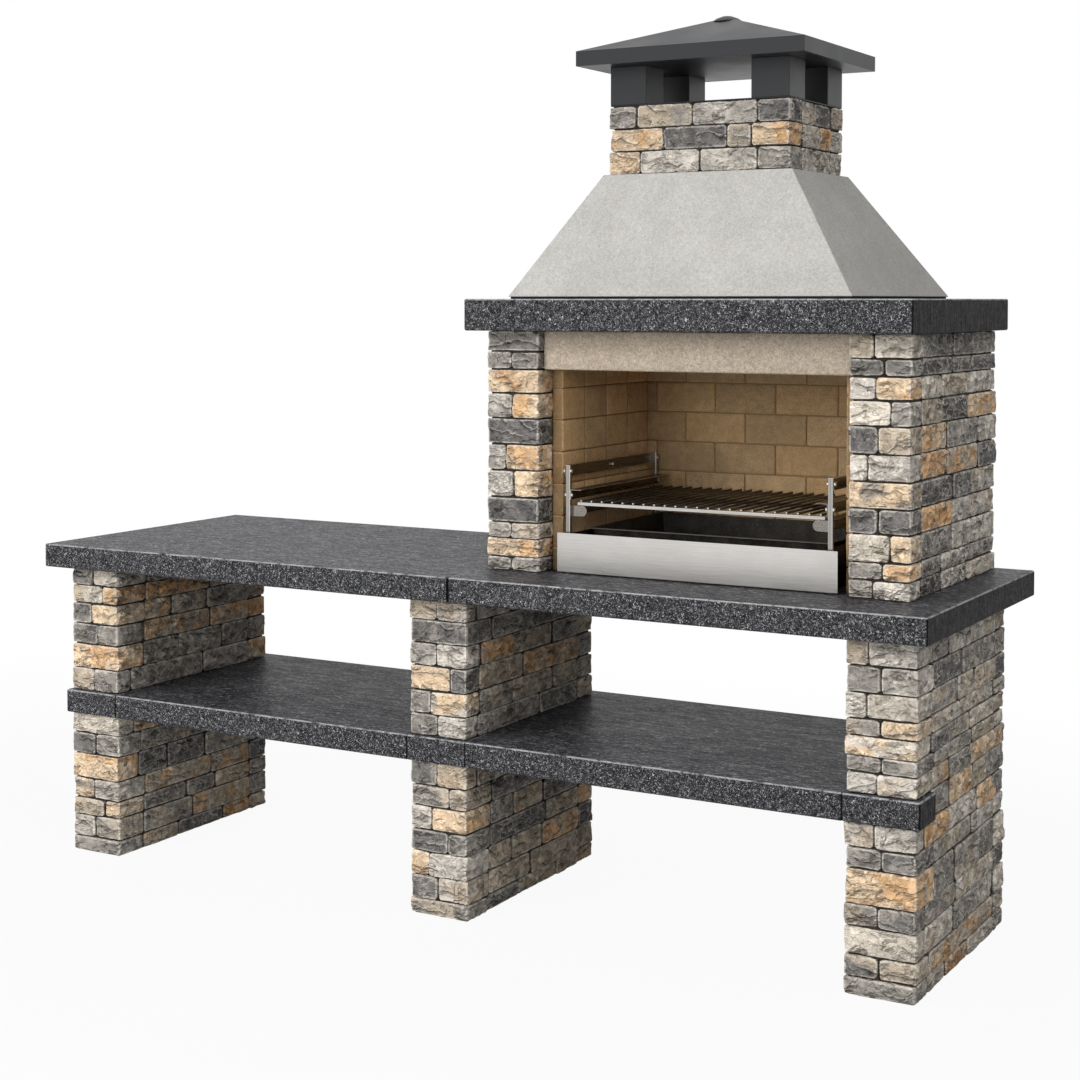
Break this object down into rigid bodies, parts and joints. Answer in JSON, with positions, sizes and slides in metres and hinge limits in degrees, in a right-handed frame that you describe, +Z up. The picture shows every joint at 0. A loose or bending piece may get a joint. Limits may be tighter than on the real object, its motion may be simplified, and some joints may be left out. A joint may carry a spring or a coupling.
{
  "type": "stone garden barbecue",
  "caption": "Stone garden barbecue with split-stone legs, dark slab worktop and shelves, brick-lined firebox with sliding grill and pull-out drawer, smoke hood and capped chimney.",
  "frame": {"origin": "on the ground under the middle of the object's bounding box", "axes": "+X along the worktop to the firebox end, +Y from the front to the back, +Z up"},
  "size_m": [2.52, 0.83, 2.222],
  "materials": {
    "split_stone": "split face, matt",
    "dark_slab": "honed",
    "cast_concrete": "fine cast, matt",
    "firebrick": "fired clay, matt",
    "insulation": "matt",
    "flue_clay": "matt",
    "hood_seal": "matt",
    "cap_paint": "satin",
    "brushed_steel": "brushed",
    "dark_steel": "heat-resistant, matt",
    "carrier_steel": "dull",
    "grill_steel": "heat-darkened"
  },
  "bodies": {
    "masonry": {"back_backing": "insulation", "back_firebricks": "firebrick", "back_wall_stones": "split_stone", "cap_base": "cap_paint", "cap_post_back_left": "cap_paint", "cap_post_back_right": "cap_paint", "cap_post_front_left": "cap_paint", "cap_post_front_right": "cap_paint", "cap_roof": "cap_paint", "cap_soffit": "cap_paint", "carrier_bolts": "carrier_steel", "chimney_stones": "split_stone", "crown_slab": "dark_slab", "flue_liner": "flue_clay", "hood_seal": "hood_seal", "left_backing": "insulation", "left_band": "dark_slab", "left_firebricks": "firebrick", "left_front_upright": "brushed_steel", "left_leg_lower_stones": "split_stone", "left_leg_shelf_stones": "split_stone", "left_leg_upper_stones": "split_stone", "left_lower_rail": "carrier_steel", "left_middle_rail": "carrier_steel", "left_pillar_stones": "split_stone", "left_rail_lug": "carrier_steel", "left_rear_upright": "brushed_steel", "left_shelf": "dark_slab", "left_top_strip": "carrier_steel", "left_worktop": "dark_slab", "lintel": "cast_concrete", "middle_band": "dark_slab", "middle_leg_lower_stones": "split_stone", "middle_leg_upper_stones": "split_stone", "right_backing": "insulation", "right_band": "dark_slab", "right_firebricks": "firebrick", "right_front_upright": "brushed_steel", "right_leg_lower_stones": "split_stone", "right_leg_shelf_stones": "split_stone", "right_leg_upper_stones": "split_stone", "right_lower_rail": "carrier_steel", "right_middle_rail": "carrier_steel", "right_pillar_stones": "split_stone", "right_rail_lug": "carrier_steel", "right_rear_upright": "brushed_steel", "right_shelf": "dark_slab", "right_top_strip": "carrier_steel", "right_worktop": "dark_slab", "smoke_hood": "cast_concrete", "wall_studs": "carrier_steel"},
    "grill": {"grill_front_bar": "brushed_steel", "grill_middle_bar": "grill_steel", "grill_rear_bar": "grill_steel", "grill_rods": "grill_steel"},
    "drawer": {"drawer_fascia": "brushed_steel", "drawer_box": "dark_steel"},
    "pan": {"charcoal_pan": "dark_steel"}
  },
  "joints": [
    {"name": "grill_slide", "type": "slide", "parent": "masonry", "child": "grill", "axis": [0, -1, 0], "range_m": [0, 0.22]},
    {"name": "drawer_slide", "type": "slide", "parent": "masonry", "child": "drawer", "axis": [0, -1, 0], "range_m": [0, 0.35]},
    {"name": "pan_lift", "type": "slide", "parent": "drawer", "child": "pan", "axis": [0, 0, 1], "range_m": [0, 0.028]}
  ]
}
